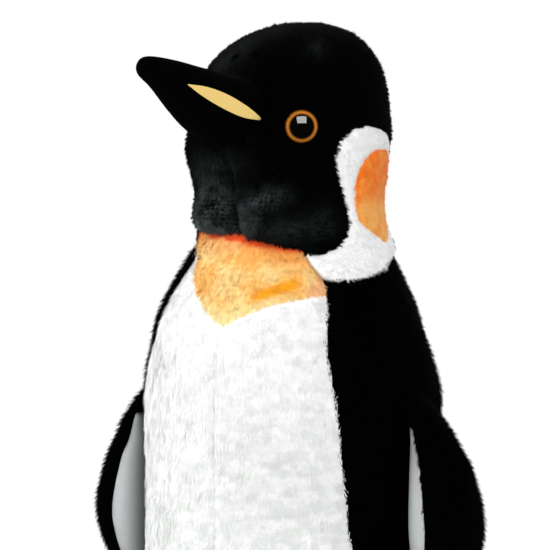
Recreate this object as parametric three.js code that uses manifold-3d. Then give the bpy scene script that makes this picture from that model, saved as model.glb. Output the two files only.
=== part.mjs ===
// Standing plush emperor penguin, 24 inches tall.
// Millimetres, +Z up, standing on z = 0, facing -Y, so +X is the penguin's own left side.
//
// Every stuffed form is a core of filling with sewn panels around it. The left-hand pieces are
// made first and the right-hand ones are their mirror images.

import * as THREE from 'three';
import { mergeVertices } from 'three/addons/utils/BufferGeometryUtils.js';
import Module from 'manifold-3d';

const wasm = await Module();
wasm.setup();

// ---------------------------------------------------------------- driving dimensions

const HEIGHT = 610;          // floor to crown
const NECK = 450;            // height where the head turns on the body
const BODY_DEPTH = 0.945;    // front-to-back size of the body over its width
const PANEL = 5;             // fabric with its pile pressed down
const THIN_PANEL = 3;        // short-pile fabric of the beak, flippers, feet and tail
const GAP = 0.3;             // clearance left between neighbouring pieces
const HEAD_TURN = -10;       // degrees the head looks to the penguin's right
const AROUND = 24;           // facets round the body and the head

const BASE_THICK = 4;
const BASE_RADIUS = 66;

// radius and height of the body's outside, from the base to the neck
const BODY_OUTLINE = [
  [66, BASE_THICK + GAP], [79, 26], [93, 64], [104, 125], [108, 200], [108.5, 275],
  [110, 330], [107, 360], [99, 392], [86.5, 427], [75, NECK - GAP],
];

// radius and height of the head's outside, from the neck to the crown
const HEAD_OUTLINE = [
  [71, NECK + GAP], [70, 486], [73.5, 528], [70, 560], [58, 585], [38, 602], [15, HEIGHT],
];

// the beak: distance from the head's axis, height of the middle, half width, half height
const BEAK_STATIONS = [
  [50, 546, 33, 26], [70, 547.5, 31, 25], [96, 553.5, 24, 23.5], [118, 563, 15.5, 18.5],
  [138, 573, 10.5, 11.5], [149, 577, 7.5, 7.5], [155, 577.5, 3.5, 3.5],
];

// a flipper, hanging, as sections at these heights: the seam's distance out from the middle of the
// toy, the thickest line from front to back, how far the section reaches to the front and to the
// back of that line, and how far it bulges outwards and inwards from the seam
const FLIPPER_SECTIONS = [
  { z: 343, seam: 110, middle: -13, front: 9, back: 20, out: 6, in: 2 },
  { z: 332, seam: 114, middle: -13, front: 10, back: 27, out: 14, in: 3.5 },
  { z: 319, seam: 118, middle: -13, front: 11, back: 32, out: 18, in: 7 },
  { z: 306, seam: 123, middle: -13, front: 15, back: 36, out: 20, in: 11 },
  { z: 289, seam: 127.5, middle: -13, front: 20, back: 39, out: 21.5, in: 15 },
  { z: 250, seam: 131, middle: -13, front: 23, back: 41, out: 22, in: 18 },
  { z: 208, seam: 126, middle: -8, front: 17, back: 31, out: 17, in: 13 },
  { z: 185, seam: 123, middle: -3, front: 11, back: 17, out: 10, in: 8 },
  { z: 173, seam: 121, middle: 0, front: 4, back: 5, out: 4, in: 3.5 },
];
const FLIPPER_CORE_TOP = 1;  // the filling starts at this section, below the sewn-flat root

const EYE = { angle: 48, height: 536, radius: 12, dome: 7, stem: 2.5, length: 12, seat: 74.2 };
const WASHER = { radius: 9, thick: 2, front: 65.5 };

const POUCH = { radius: 44, height: 44, top: 34 };

const FOOT = { heel: 60, toes: 140, toeWidth: 19, notch: 17, splay: 17, spread: 38, height: 24, sole: 3 };

const TAIL = { root: 70, tip: 138, width: 60, height: 44, drop: -20, thick: 9 };

// ---------------------------------------------------------------- materials

const material = (color, roughness) => new THREE.MeshStandardMaterial({ color, roughness, metalness: 0 });
const BLACK_PLUSH = material(0x0b0b0c, 0.95);
const BEAK_VELOUR = material(0x060706, 0.7);
const WHITE_PLUSH = material(0xf6f6f2, 0.95);
const ORANGE_PLUSH = material(0xf3a94a, 0.95);
const STRIPE_VELOUR = material(0xe8ce7e, 0.9);
const GREY_LINING = material(0xb4b8ba, 0.9);
const FILLING = material(0xf2f2ee, 1);
const PELLET_CLOTH = material(0xd9d6cc, 0.9);
const EYE_PLASTIC = material(0x1a0f06, 0.15);
const WASHER_PLASTIC = material(0xe4e4e0, 0.5);

// ---------------------------------------------------------------- solids

const radians = THREE.MathUtils.degToRad;

// A closed solid from the triangles of a three.js shape.
function solidFrom(geometry) {
  const bare = new THREE.BufferGeometry();
  bare.setAttribute('position', geometry.getAttribute('position'));
  bare.setIndex(geometry.getIndex());
  const merged = mergeVertices(bare, 1e-4);
  const corners = merged.getIndex().array;
  const triangles = [];
  for (let i = 0; i < corners.length; i += 3) {
    const [a, b, c] = [corners[i], corners[i + 1], corners[i + 2]];
    if (a !== b && b !== c && c !== a) triangles.push(a, b, c);
  }
  return new wasm.Manifold(new wasm.Mesh({
    numProp: 3,
    vertProperties: Float32Array.from(merged.getAttribute('position').array),
    triVerts: Uint32Array.from(triangles),
  }));
}

// A named mesh from a solid.
function meshFrom(name, solid, skin) {
  const { vertProperties, triVerts } = solid.getMesh();
  const geometry = new THREE.BufferGeometry();
  geometry.setAttribute('position', new THREE.BufferAttribute(Float32Array.from(vertProperties), 3));
  geometry.setIndex(new THREE.BufferAttribute(Uint32Array.from(triVerts), 1));
  geometry.computeVertexNormals();
  const mesh = new THREE.Mesh(geometry, skin);
  mesh.name = name;
  return mesh;
}

const mirrored = (solid) => solid.mirror([1, 0, 0]);

// A turned solid: the outline runs from the bottom to the top, drawn in by `inset`.
function turned(outline, inset, depth = 1) {
  const rim = outline.map(([radius, height]) => new THREE.Vector2(Math.max(radius - inset, 0), height));
  const bottom = new THREE.Vector2(0, rim[0].y);
  const top = new THREE.Vector2(0, rim.at(-1).y);
  const geometry = new THREE.LatheGeometry([bottom, ...rim, top], AROUND);
  return solidFrom(geometry.rotateX(Math.PI / 2).scale(1, depth, 1));
}

// A solid skinned over rings that all have the same number of points.
function lofted(rings) {
  const count = rings[0].length;
  const positions = rings.flat().flatMap((point) => point.toArray());
  const index = [];
  for (let ring = 0; ring + 1 < rings.length; ring += 1) {
    for (let i = 0; i < count; i += 1) {
      const next = (i + 1) % count;
      const [a, b] = [ring * count + i, ring * count + next];
      index.push(a, b, b + count, a, b + count, a + count);
    }
  }
  const last = (rings.length - 1) * count;
  for (let i = 1; i + 1 < count; i += 1) {
    index.push(0, i + 1, i, last, last + i, last + i + 1);
  }
  const geometry = new THREE.BufferGeometry();
  geometry.setAttribute('position', new THREE.Float32BufferAttribute(positions, 3));
  geometry.setIndex(index);
  return solidFrom(geometry);
}

// An upright prism from a flat outline of [x, y] points, between two heights, its top edge bevelled.
function prism(outline, bottom, top, bevel = 0) {
  const shape = new THREE.Shape(outline.map(([x, y]) => new THREE.Vector2(x, y)));
  const geometry = new THREE.ExtrudeGeometry(shape, {
    depth: top - bottom - bevel,
    bevelEnabled: bevel > 0,
    bevelThickness: bevel,
    bevelSize: bevel,
    bevelOffset: -bevel,
    bevelSegments: 2,
    curveSegments: 6,
  });
  return solidFrom(geometry.translate(0, 0, bottom)).trimByPlane([0, 0, 1], bottom);
}

// A block seen from the penguin's left side: [y, z] points, reaching from x = from to x = to.
function sideBlock(outline, from, to) {
  const turn = new THREE.Matrix4().makeBasis(
    new THREE.Vector3(0, 1, 0), new THREE.Vector3(0, 0, 1), new THREE.Vector3(1, 0, 0),
  );
  const shape = new THREE.Shape(outline.map(([y, z]) => new THREE.Vector2(y, z)));
  const geometry = new THREE.ExtrudeGeometry(shape, { depth: to - from, bevelEnabled: false });
  return solidFrom(geometry.translate(0, 0, from).applyMatrix4(turn));
}

const around = (radius, angle, height) => new THREE.Vector3(
  radius * Math.sin(radians(angle)), -radius * Math.cos(radians(angle)), height,
);

// The inward direction halfway round the corner between two edges, long enough to keep both clear.
function cornerInset(before, corner, after) {
  const into = corner.clone().sub(before).normalize();
  const out = after.clone().sub(corner).normalize();
  const sum = new THREE.Vector2(-into.y - out.y, into.x + out.x);
  return sum.divideScalar(1 + into.dot(out));
}

// The same outline drawn in by `by` on every side; it runs anticlockwise.
function insetOutline(points, by) {
  return points.map((corner, i) => {
    const inset = cornerInset(points.at(i - 1), corner, points[(i + 1) % points.length]);
    return corner.clone().addScaledVector(inset, by);
  });
}

// A cutter for one sewn patch. Its outline is [angle from the front, height], anticlockwise seen
// from outside, and the cut runs straight in towards the axis. `rim` is the radius where the cut
// meets the outside of the toy, and `shy` draws the outline in.
function patchCutter(outline, rim, shy = 0) {
  const radii = [rim / 4, rim, rim * 4];
  const mmPerDegree = radians(rim);
  const spread = outline.map(([angle, height]) => new THREE.Vector2(angle * mmPerDegree, height));
  const flat = insetOutline(spread, shy);
  for (const point of flat) point.x /= mmPerDegree;
  const count = flat.length;
  const positions = radii.flatMap((r) => flat.flatMap(({ x, y }) => around(r, x, y).toArray()));
  const far = 2 * count;
  const index = [];
  for (const [a, b, c] of THREE.ShapeUtils.triangulateShape(flat, [])) {
    index.push(a, c, b, a + far, b + far, c + far);
  }
  for (const ring of [0, count]) {
    for (let i = 0; i < count; i += 1) {
      const [a, b] = [ring + i, ring + (i + 1) % count];
      index.push(a, b, b + count, a, b + count, a + count);
    }
  }
  const geometry = new THREE.BufferGeometry();
  geometry.setAttribute('position', new THREE.Float32BufferAttribute(positions, 3));
  geometry.setIndex(index);
  return solidFrom(geometry);
}

// Points along a smooth line through a few [a, b] points.
function smooth(points, steps) {
  const line = new THREE.SplineCurve(points.map(([a, b]) => new THREE.Vector2(a, b)));
  return line.getPoints(steps).map(({ x, y }) => [x, y]);
}

// ---------------------------------------------------------------- body

const bodyOutside = turned(BODY_OUTLINE, 0, BODY_DEPTH);
const bodyGrown = turned(BODY_OUTLINE, -GAP, BODY_DEPTH);

// left half of the body's bib: from the tip on the centre seam out to the side, and up to the neck
const BIB_EDGE = smooth([[-3, 394], [12, 404], [30, 413], [49, 419]], 5);
const BIB = [...BIB_EDGE, [47, 436], [41, NECK + 5], [-3, NECK + 5]];

// left half of the white front, below the bib; it widens towards the floor
const BELLY = [[-3, -5], [66, -5], [60, 160], [54, 240], [49, 340], ...BIB_EDGE.toReversed()];

function bodyPanels() {
  const rim = BODY_OUTLINE.at(-3)[0];
  const below = [BODY_OUTLINE[0][0], -20];
  const above = [BODY_OUTLINE.at(-1)[0], NECK + 20];
  const inside = turned([below, ...BODY_OUTLINE, above], PANEL, BODY_DEPTH);
  const shell = bodyOutside.subtract(inside);
  const half = shell.trimByPlane([1, 0, 0], GAP / 2);
  return {
    bib: half.intersect(patchCutter(BIB, rim, GAP)),
    belly: half.intersect(patchCutter(BELLY, rim, GAP)).subtract(patchCutter(BIB, rim)),
    back: half.subtract(patchCutter(BIB, rim)).subtract(patchCutter(BELLY, rim)),
  };
}

// The pouch of pellets sits in a hollow at the bottom of the filling and steadies the toy.
function pelletPouch(grow) {
  const { radius, height, top } = POUCH;
  const foot = BASE_THICK + GAP - grow;
  return turned([[radius + grow, foot], [radius + grow, height * 0.5], [top + grow, height + grow]], 0);
}

const baseDisc = () => turned([[BASE_RADIUS - 3, 0], [BASE_RADIUS, BASE_THICK]], 0, BODY_DEPTH);

const bodyFilling = () => turned(BODY_OUTLINE, PANEL + GAP, BODY_DEPTH).subtract(pelletPouch(GAP + 0.2));

// ---------------------------------------------------------------- head

const headOutside = turned(HEAD_OUTLINE, 0);
const drawnIn = (outline, by) => outline.map(([r, z]) => {
  const share = Math.max(0, (z - NECK - GAP) / (HEIGHT - NECK));
  return [r, z - by * share];
});
const headHollow = turned([[HEAD_OUTLINE[0][0], NECK - 20], ...drawnIn(HEAD_OUTLINE, PANEL)], PANEL);
const headCore = turned(drawnIn(HEAD_OUTLINE, PANEL + GAP), PANEL + GAP);

// white patch on the side of the neck, open at the bottom where it meets the body
const NECK_PATCH = [
  [66, NECK - 5], [136, NECK - 5], [137, 480], [131, 508],
  ...smooth([[118, 526], [100, 534], [86, 532], [73, 524], [69, 510], [74, 490], [79, 470]], 6),
];

// orange patch inside the white one
const EAR_PATCH = smooth(
  [[108, 455], [124, 462], [131, 482], [124, 506], [106, 518], [92, 513], [84, 490], [87, 468], [107, 455.5]],
  11,
).slice(0, -1);

const THROAT = [[-3, NECK - 5], [60, NECK - 5], [55, 480], [43, 508], [26, 535], [-3, 535]];

const GUSSET_HALF = 22;
const GUSSET = [[-110, 560], [0, 560], [0, NECK - 5], [120, NECK - 5], [120, 640], [-110, 640]];

function beakSolid(grow, stations = BEAK_STATIONS) {
  const points = 16;
  const rings = stations.map(([reach, height, halfWidth, halfHeight]) => {
    const ring = [];
    for (let i = 0; i < points; i += 1) {
      const turn = (i / points) * 2 * Math.PI;
      const x = (halfWidth + grow) * Math.cos(turn);
      const z = height + (halfHeight + grow) * Math.sin(turn);
      ring.push(new THREE.Vector3(x, -reach, z));
    }
    return ring;
  });
  return lofted(rings);
}

// A pointer along -Y turned to look out of the left eye.
function facingOut(solid) {
  return solid.rotate([0, 0, EYE.angle]).translate([0, 0, EYE.height]);
}

// A round piece of the eye, turned about its stem: [radius, distance from the head's axis].
function eyeTurning(outline) {
  const rim = outline.map(([radius, reach]) => new THREE.Vector2(radius, reach));
  return facingOut(solidFrom(new THREE.LatheGeometry(rim, 16).rotateZ(Math.PI)));
}

function eyeDome() {
  const { radius, dome, stem, length, seat } = EYE;
  const curve = [0, 30, 60, 90].map((turn) => [
    radius * Math.cos(radians(turn)), seat + dome * Math.sin(radians(turn)),
  ]);
  return eyeTurning([[0, seat - length], [stem, seat - length], [stem, seat], ...curve]);
}

function eyeWasher() {
  const { radius, thick, front } = WASHER;
  return eyeTurning([[0, front - thick], [radius, front - thick], [radius, front], [0, front]])
    .subtract(eyeHole());
}

// An empty round way for the eye's stem, from a distance from the head's axis out past its cover.
const eyeWay = (radius, from) => {
  const past = EYE.seat + EYE.length;
  return eyeTurning([[0, from], [radius, from], [radius, past], [0, past]]);
};

const eyePocket = () => eyeWay(WASHER.radius + GAP, EYE.seat - EYE.length - 1);
const eyeHole = () => eyeWay(EYE.stem + GAP, EYE.seat - 2 * EYE.length);

function headPanels() {
  const rim = HEAD_OUTLINE[0][0];
  const shell = headOutside.subtract(headHollow).subtract(beakSolid(GAP));
  const half = shell.trimByPlane([1, 0, 0], GAP / 2);
  const gussetCut = (shy) => sideBlock(GUSSET, -GUSSET_HALF + shy, GUSSET_HALF - shy);
  const neck = patchCutter(NECK_PATCH, rim);
  const throat = patchCutter(THROAT, rim);
  return {
    gusset: shell.intersect(gussetCut(GAP)),
    throat: half.intersect(patchCutter(THROAT, rim, GAP)).subtract(gussetCut(0)),
    neckPatch: half.intersect(patchCutter(NECK_PATCH, rim, GAP)).subtract(patchCutter(EAR_PATCH, rim)),
    earPatch: half.intersect(patchCutter(EAR_PATCH, rim, GAP)),
    side: half.subtract(gussetCut(0)).subtract(neck).subtract(throat).subtract(eyeHole()),
  };
}

// The stripe on the side of the beak: a leaf shape seen from the side.
function stripeCutter(shy) {
  const front = [-122 + shy, 568];
  const rear = [-30, 522 + shy];
  const above = [-82, 563 - shy];
  const below = [-84, 546 + shy];
  const leaf = [...smooth([rear, below, front], 6), ...smooth([front, above, rear], 6).slice(1, -1)];
  return sideBlock(leaf, 4, 60);
}

function beakPieces() {
  const cover = beakSolid(0)
    .subtract(beakSolid(-THIN_PANEL, BEAK_STATIONS.slice(0, -1)))
    .subtract(headHollow);
  const half = cover.trimByPlane([1, 0, 0], GAP / 2);
  return {
    cover: half.subtract(stripeCutter(0)),
    stripe: half.intersect(stripeCutter(GAP)),
    filling: beakSolid(-THIN_PANEL - 2 * GAP, BEAK_STATIONS.slice(0, -1)).subtract(headHollow),
  };
}

const headFilling = () => headCore.subtract(eyePocket()).subtract(mirrored(eyePocket()));

// ---------------------------------------------------------------- flippers

// Half of one section of a flipper, from its front edge to its back edge. side +1 is the outer half
// and -1 the lining half; the section is drawn out by `grow`.
function flipperArc(section, side, grow) {
  const steps = 6;
  const bulge = Math.max((side > 0 ? section.out : section.in) + grow, 0.8);
  const arc = [];
  for (let i = 0; i <= steps; i += 1) {
    const turn = (i / steps) * Math.PI;
    const reach = (turn < Math.PI / 2 ? section.front : section.back) + grow;
    const x = section.seam + side * (GAP / 2 + bulge * Math.sin(turn));
    arc.push(new THREE.Vector3(x, section.middle - reach * Math.cos(turn), section.z));
  }
  return side > 0 ? arc : arc.reverse();
}

function flipperHalf(side, grow) {
  return lofted(FLIPPER_SECTIONS.map((section) => flipperArc(section, side, grow)).reverse());
}

function flipperCore(grow) {
  const rings = FLIPPER_SECTIONS.slice(FLIPPER_CORE_TOP, -1).map((section) => {
    const outer = flipperArc(section, 1, grow);
    const inner = flipperArc(section, -1, grow).slice(1, -1);
    return [...outer, ...inner];
  });
  return lofted(rings.reverse());
}

function flipperPieces() {
  const hollow = flipperCore(-THIN_PANEL);
  return {
    outer: flipperHalf(1, 0).subtract(hollow).subtract(bodyGrown),
    lining: flipperHalf(-1, 0).subtract(hollow).subtract(bodyGrown),
    filling: flipperCore(-THIN_PANEL - GAP),
  };
}

// ---------------------------------------------------------------- feet and tail

// Three rounded toes on a broad foot, pointing along -Y, drawn in by `inset`.
function footOutline(inset) {
  const { heel, toes, toeWidth, notch } = FOOT;
  const half = toeWidth / 2;
  const outline = [[1.3 * toeWidth, -heel], [-1.3 * toeWidth, -heel]];
  for (const [x, reach] of [[-toeWidth, toes - 6], [0, toes], [toeWidth, toes - 6]]) {
    outline.push(
      [x - half, -reach + notch], [x - half + 1, -reach + 6], [x - half / 2, -reach],
      [x + half / 2, -reach], [x + half - 1, -reach + 6],
    );
  }
  outline.push([1.5 * toeWidth, -toes + notch + 6]);
  const corners = outline.map(([x, y]) => new THREE.Vector2(x, y));
  return insetOutline(corners, inset).map(({ x, y }) => [x, y]);
}

function footPieces() {
  const { sole, height, splay, spread } = FOOT;
  const place = (solid) => solid.rotate([0, 0, splay]).translate([spread, 0, 0]).subtract(bodyGrown)
    .subtract(turned([[BASE_RADIUS + GAP, -1], [BASE_RADIUS + GAP, BASE_THICK + 2]], 0));
  const cavity = prism(footOutline(THIN_PANEL), sole, height - THIN_PANEL);
  return {
    sole: place(prism(footOutline(0), 0, sole)),
    upper: place(prism(footOutline(0), sole + GAP, height, 6).subtract(cavity)),
    filling: place(prism(footOutline(THIN_PANEL + GAP), sole + GAP, height - THIN_PANEL - GAP)),
  };
}

// The tail is a flat leaf that slopes down to the floor behind the body.
function tailSolid(side, grow) {
  const { root, tip, width, height, drop, thick } = TAIL;
  const rings = [];
  for (const t of [0, 0.35, 0.7, 0.95]) {
    const half = (width / 2) * Math.sqrt(1 - t * t * 0.95) + grow;
    const deep = thick * (1 - 0.6 * t) + grow;
    const [y, z] = [root + (tip - root) * t, height + drop * t];
    const ring = [];
    for (let i = 0; i <= 6; i += 1) {
      const turn = (i / 6) * Math.PI;
      ring.push(new THREE.Vector3(half * Math.cos(turn), y, z + side * (GAP / 2 + deep * Math.sin(turn))));
    }
    rings.push(side > 0 ? ring : ring.reverse());
  }
  return rings;
}

function tailCore(grow) {
  const above = tailSolid(1, grow).slice(0, -1);
  const below = tailSolid(-1, grow).slice(0, -1);
  return lofted(above.map((ring, i) => [...ring, ...below[i].slice(1, -1)]).reverse());
}

function tailPieces() {
  const hollow = tailCore(-THIN_PANEL);
  return {
    upper: lofted(tailSolid(1, 0).reverse()).subtract(hollow).subtract(bodyGrown),
    lower: lofted(tailSolid(-1, 0).reverse()).subtract(hollow).subtract(bodyGrown),
    filling: tailCore(-THIN_PANEL - GAP).subtract(bodyGrown),
  };
}

// ---------------------------------------------------------------- assembly

const penguin = new THREE.Group();
penguin.name = 'plush_penguin';

function addPair(name, solid, skin, turn = 0) {
  for (const [side, shape] of [['left', solid], ['right', mirrored(solid)]]) {
    const mesh = meshFrom(`${side}_${name}`, shape, skin);
    mesh.rotation.z = radians(turn);
    penguin.add(mesh);
  }
}

function addOne(name, solid, skin, turn = 0) {
  const mesh = meshFrom(name, solid, skin);
  mesh.rotation.z = radians(turn);
  penguin.add(mesh);
}

const body = bodyPanels();
addOne('body_filling', bodyFilling(), FILLING);
addOne('pellet_pouch', pelletPouch(0), PELLET_CLOTH);
addOne('base_panel', baseDisc(), BLACK_PLUSH);
addPair('bib', body.bib, ORANGE_PLUSH);
addPair('belly', body.belly, WHITE_PLUSH);
addPair('back', body.back, BLACK_PLUSH);

const head = headPanels();
addOne('head_filling', headFilling(), FILLING, HEAD_TURN);
addOne('crown_gusset', head.gusset, BLACK_PLUSH, HEAD_TURN);
addPair('head_side', head.side, BLACK_PLUSH, HEAD_TURN);
addPair('throat', head.throat, BLACK_PLUSH, HEAD_TURN);
addPair('neck_patch', head.neckPatch, WHITE_PLUSH, HEAD_TURN);
addPair('ear_patch', head.earPatch, ORANGE_PLUSH, HEAD_TURN);
addPair('eye', eyeDome(), EYE_PLASTIC, HEAD_TURN);
addPair('eye_washer', eyeWasher(), WASHER_PLASTIC, HEAD_TURN);

const beak = beakPieces();
addOne('beak_filling', beak.filling, FILLING, HEAD_TURN);
addPair('beak_cover', beak.cover, BEAK_VELOUR, HEAD_TURN);
addPair('beak_stripe', beak.stripe, STRIPE_VELOUR, HEAD_TURN);

const flipper = flipperPieces();
addPair('flipper_outer', flipper.outer, BLACK_PLUSH);
addPair('flipper_lining', flipper.lining, GREY_LINING);
addPair('flipper_filling', flipper.filling, FILLING);

const foot = footPieces();
addPair('foot_upper', foot.upper, BLACK_PLUSH);
addPair('foot_sole', foot.sole, BLACK_PLUSH);
addPair('foot_filling', foot.filling, FILLING);

const tail = tailPieces();
addOne('tail_upper', tail.upper, BLACK_PLUSH);
addOne('tail_lower', tail.lower, BLACK_PLUSH);
addOne('tail_filling', tail.filling, FILLING);

export default penguin;
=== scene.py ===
import math
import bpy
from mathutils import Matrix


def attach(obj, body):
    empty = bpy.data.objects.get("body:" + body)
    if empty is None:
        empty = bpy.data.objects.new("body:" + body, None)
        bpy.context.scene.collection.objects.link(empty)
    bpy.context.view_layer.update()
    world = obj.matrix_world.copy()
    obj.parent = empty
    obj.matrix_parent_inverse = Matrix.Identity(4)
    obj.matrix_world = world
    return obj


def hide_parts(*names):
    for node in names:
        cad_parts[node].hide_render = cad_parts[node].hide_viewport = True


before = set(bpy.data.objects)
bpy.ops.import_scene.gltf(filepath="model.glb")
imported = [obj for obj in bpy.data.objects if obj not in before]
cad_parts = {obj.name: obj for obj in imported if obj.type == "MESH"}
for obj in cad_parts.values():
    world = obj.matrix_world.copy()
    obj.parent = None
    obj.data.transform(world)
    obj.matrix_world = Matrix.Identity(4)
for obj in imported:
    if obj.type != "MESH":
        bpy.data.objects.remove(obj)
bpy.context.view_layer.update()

import zlib

import bpy
import numpy as np
from mathutils import Vector

# The plush penguin faces -Y and stands on z = 0; +X is its own left side. Forms are drawn in
# millimetres and turned into metres when a mesh is made. Angles are in degrees from the front,
# positive towards the penguin's left.

MM = 0.001
SIDES = (("left", 1), ("right", -1))

# ---------------- driving dimensions

HEIGHT = 610               # floor to crown
NECK = 450                 # where the head turns on the body
BODY_DEPTH = 0.945         # front-to-back size of the body over its width
HEAD_TURN = -10            # the head looks to the penguin's right
CROWN_BACK = 13            # how far the crown sits behind the neck

BODY_OUTLINE = [(58, 2), (68, 6), (79, 26), (93, 64), (104, 125), (108, 200), (108.5, 275),
                (110.5, 330), (108, 360), (99, 392), (86.5, 427), (75.5, NECK), (70, 464)]
BODY_FORWARD = 4.5         # how far the chest swells forward, at its middle
HEAD_OUTLINE = [(89, 420), (82, 436), (76, NECK), (71, 468), (70, 488), (72.5, 512), (73.5, 532),
                (70, 560), (60.5, 582), (44, 597.5), (21, 606), (0, HEIGHT - 3)]

# half angle of the white front at each height, on the penguin's left and on its right
FRONT_LEFT = [(0, 66), (160, 61), (232, 56.5), (251, 54.5), (300, 51.5), (337, 49.3), (376, 47),
              (419, 49.5), (440, 47), (464, 40)]
FRONT_RIGHT = [(0, 66), (160, 62), (240, 60), (290, 58.5), (345, 56), (370, 54), (392, 49), (405, 46),
               (424, 44.5), (436, 44), (443, 50), (450, 62), (464, 62)]

# the orange bib: angle and height round its edge
BIB = [(0.5, 396.5), (6, 401), (14, 406.5), (22, 411.5), (33, 415), (50, 419), (50, 425), (49, 430),
       (46, 438), (43, 446), (40, 451), (32, 470), (-64, 470), (-64, 451), (-52, 446), (-42, 442),
       (-36, 437), (-32, 431), (-26, 424), (-17.5, 414.5), (-9, 406), (-3.5, 400)]

# lower edge of the head's cover, where it lies over the body
HEM = [(-180, 446), (-135, 444), (-112, 438), (-96, 430), (-84, 427), (-76, 432), (-68, 445),
       (-58, 453), (-46, 458), (-25, 460), (0, 460), (10, 457.5), (28, 454.5), (42, 449), (50, 446),
       (56, 435), (62, 427), (77, 425), (96, 430), (112, 438), (135, 444), (180, 446)]
NECK_PATCH = [(50, 446), (60, 446), (70, 451), (77, 459), (80, 468), (78, 480), (74, 493),
              (70, 503), (68, 514), (71, 526), (81, 534), (93, 536.5), (108, 534), (124, 528),
              (136, 517), (141, 500), (141, 476), (138, 456), (132, 438), (126, 410), (58, 410)]
EAR_PATCH = [(112, 453), (103, 458), (93, 464), (87, 470), (84.5, 480), (84, 492), (87, 504),
             (92, 513), (101, 519), (114, 520), (126, 517), (133, 508), (136, 494), (136, 478),
             (132, 463), (124, 455)]

EYE = {"angle": 48.3, "height": 536, "radius": 12.2, "dome": 5, "reach": 70.8}

# the beak: distance from the head's axis, height of the middle, half width, half height
BEAK = [(48, 546, 33, 26), (70, 547.5, 31, 25), (96, 553.5, 23, 24), (118, 562.8, 15, 19.3),
        (138, 573, 10.5, 12), (149, 576.8, 7.5, 8.4), (153.5, 577.2, 5, 5.6), (155.3, 577.4, 2.4, 2.6),
        (155.8, 577.5, 0.3, 0.3)]
STRIPE_TOP = [(-122, 566), (-107.5, 564), (-93, 559), (-79, 551), (-64, 540.5)]
STRIPE_BOTTOM = [(-122, 565.5), (-110, 557), (-96, 549), (-80, 542.5), (-64, 540)]

# a flipper, hanging, as sections: height, the seam's distance out from the middle of the toy, the
# thickest line from front to back, the reach in front of that line and behind it, and how far the
# section bulges outwards and inwards from the seam
FLIPPER = [(352, 105, -13, 5, 8, 2, 2), (342, 111, -13, 11, 13, 6, 3),
           (331, 115.5, -13, 13, 19, 11.5, 4), (321, 119, -13, 14, 25, 15.5, 7),
           (306, 123, -13, 15, 32, 19, 12), (289, 128, -13, 19, 37, 21.5, 17),
           (250, 133, -13, 22, 41, 23, 22), (208, 126, -8, 17, 31, 16, 13),
           (185, 123, -3, 11, 17, 9.5, 8), (173, 121, 0, 4, 5, 4, 3.5),
           (170, 120.5, 0, 0.5, 0.5, 0.5, 0.5)]

# painted sheen: the black pile down the middle of the back is painted greyer, a guess, alike on both
# sides;
# how much greyer, how far round from the front it starts, and over how many degrees it comes in
BACK_SHEEN = {"greyer": 9, "start": 135, "spread": 35}
# painted sheen: the fabric under the throat's pile is painted greyer, to go with the pile's painted sheen
THROAT_BACKING_SHEEN = 6         # how much greyer the fabric under the throat's pile is

# places on the head where the black pile is painted greyer, as painted sheen where light catches it:
# angle, height, how wide, how tall, how much
PAINTED_SHEEN_PLACES = [(-16, 462, 17, 10, 150), (-9, 480, 15, 15, 70), (-13, 500, 14, 15, 42), (13, 470, 9, 11, 95),
           (22, 483, 9, 8, 40), (32, 488, 9, 7, 38), (40, 465, 22, 10, 22), (60, 472, 9, 12, 8),
           (6, 510, 14, 10, 12), (-13, 584, 12, 12, 16), (56, 590, 9, 7, 14)]

FLIPPER_SHOULDER = 326     # above this height the flipper is plush on both faces
FLIPPER_THICKER = 1.3      # its pile is this many times as dense as the back's

# a foot: where its toes spread from, how far they reach and how thick they are; it is turned out
FOOT = {"fan": -88, "spread": 38, "splay": 17, "toe_reach": 42, "toe_radius": 9.5, "toe_turn": 26,
        "toe_height": 17, "instep": 30, "instep_height": 25, "pad": 25, "sole": 3}
TAIL = {"root": 70, "tip": 138, "width": 60, "height": 44, "drop": -20, "thick": 9}

# how the pile of each fabric stands: length, width of a lock, locks to a square millimetre,
# how steeply it stands (0 lies flat, 1 straight out), how far locks gather, size of a gathering
PILE = {
    "chest": dict(length=4.2, width=0.8, density=3.0, rise=0.22, gather=0.12, clump=6.0),
    "back": dict(length=4.4, width=0.7, density=1.4, rise=0.42, gather=0.45, clump=3.5),
    "head": dict(length=3.4, width=0.55, density=2.8, rise=0.45, gather=0.4, clump=3.0),
    "throat": dict(length=3.6, width=0.6, density=2.8, rise=0.5, gather=0.4, clump=3.2),
    "patch": dict(length=2.2, width=0.5, density=3.6, rise=0.35, gather=0.15, clump=2.6),
    "bib": dict(length=3.0, width=0.6, density=3.4, rise=0.28, gather=0.2, clump=3.5),
    "foot": dict(length=2.8, width=0.6, density=2.2, rise=0.45, gather=0.25, clump=3.0),
}

ROOT_DEPTH = 0.4           # how far a lock starts below the fabric's surface
FLOOR_GAP = 0.3            # the pile never reaches lower than this

# ---------------- curves and random fields


def curve_through(points, steps=16):
    """Points along a smooth curve that passes through the given ones."""
    points = np.asarray(points, float)
    first = 2 * points[0] - points[1]
    last = 2 * points[-1] - points[-2]
    padded = np.vstack([first, points, last])
    t = np.linspace(0, 1, steps, endpoint=False)[:, None]
    stretches = []
    for a, b, c, d in zip(padded, padded[1:], padded[2:], padded[3:]):
        bend = (2 * a - 5 * b + 4 * c - d) * t**2 + (3 * b - a - 3 * c + d) * t**3
        stretches.append(0.5 * (2 * b + (c - a) * t + bend))
    return np.vstack(stretches + [points[-1:]])


def along_curve(points, x, steps=16):
    """The second value of a smooth curve at each first value x."""
    curve = curve_through(points, steps)
    return np.interp(x, curve[:, 0], curve[:, 1])


def seeded(name):
    """A random generator that always gives the same numbers for the same name."""
    return np.random.default_rng(zlib.crc32(name.encode()))


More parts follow.
